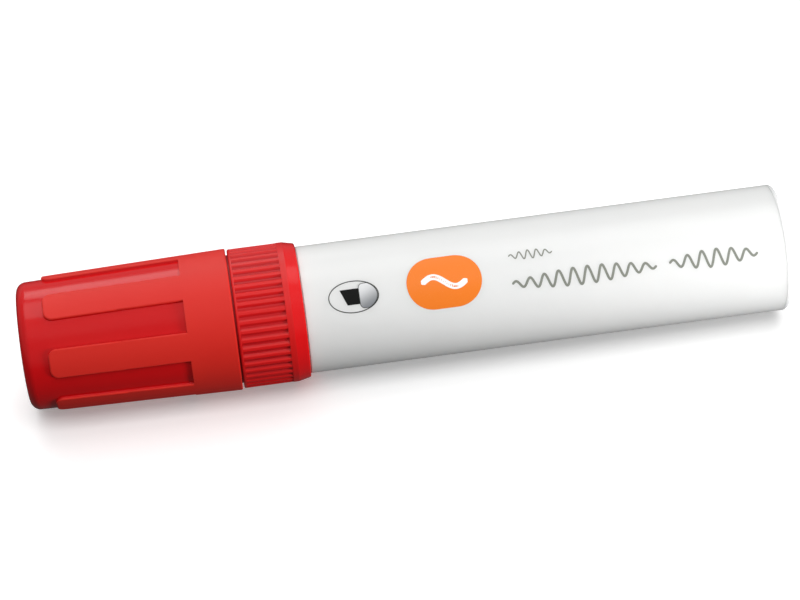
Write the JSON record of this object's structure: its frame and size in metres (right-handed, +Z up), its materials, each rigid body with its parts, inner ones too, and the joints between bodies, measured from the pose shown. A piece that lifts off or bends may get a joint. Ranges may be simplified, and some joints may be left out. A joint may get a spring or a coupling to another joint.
{
  "type": "whiteboard marker",
  "caption": "Jumbo dry-erase marker with a ribbed push-on cap, a screw collar, a chisel nib and a round printed barrel.",
  "frame": {"origin": "bottom centre of the bounding box: under the middle of the marker's length, on the surface it lies on", "axes": "+X along the marker's axis from the cap's closed end to the rear plug, +Z up, the printed side up and towards -Y"},
  "size_m": [0.156, 0.029, 0.029],
  "materials": {
    "cap_red": "moulded polypropylene, spark-eroded ribs and glossy recesses",
    "collar_red": "moulded polypropylene, satin ribs and a glossy bevel",
    "barrel_white": "moulded white polypropylene, soft gloss",
    "plug_white": "moulded white polypropylene, soft gloss",
    "liner_natural": "natural low-density polyethylene",
    "holder_white": "moulded white polypropylene",
    "nib_felt": "bonded acrylic fibre wet with red ink",
    "gasket_rubber": "soft moulded rubber",
    "fibre_core": "bundled polyester fibre soaked in red ink",
    "core_film": "clear polypropylene film",
    "breather_natural": "natural polyethylene"
  },
  "bodies": {
    "barrel": {"barrel": "barrel_white", "end_plug": "plug_white", "reservoir_core": "fibre_core", "reservoir_film": "core_film", "breather_tube": "breather_natural"},
    "nib_unit": {"nib_holder": "holder_white", "nib": "nib_felt", "holder_gasket": "gasket_rubber"},
    "collar": {"collar_ring": "collar_red"},
    "cap": {"cap_shell": "cap_red", "cap_liner": "liner_natural"}
  },
  "joints": [
    {"name": "nib_unit_slide", "type": "slide", "parent": "barrel", "child": "nib_unit", "axis": [-1, 0, 0], "range_m": [0, 0.00525]},
    {"name": "collar_unscrew", "type": "hinge", "parent": "nib_unit", "child": "collar", "pos_m": [-0.028, 0, 0.0145], "axis": [-1, 0, 0], "range_deg": [0, 630]},
    {"name": "cap_pull", "type": "slide", "parent": "nib_unit", "child": "cap", "axis": [-1, 0, 0], "range_m": [0, 0.05]}
  ],
  "couplings": [
    {"joint": "nib_unit_slide", "follows": "collar_unscrew", "m_per_rad": 0.00047746}
  ]
}
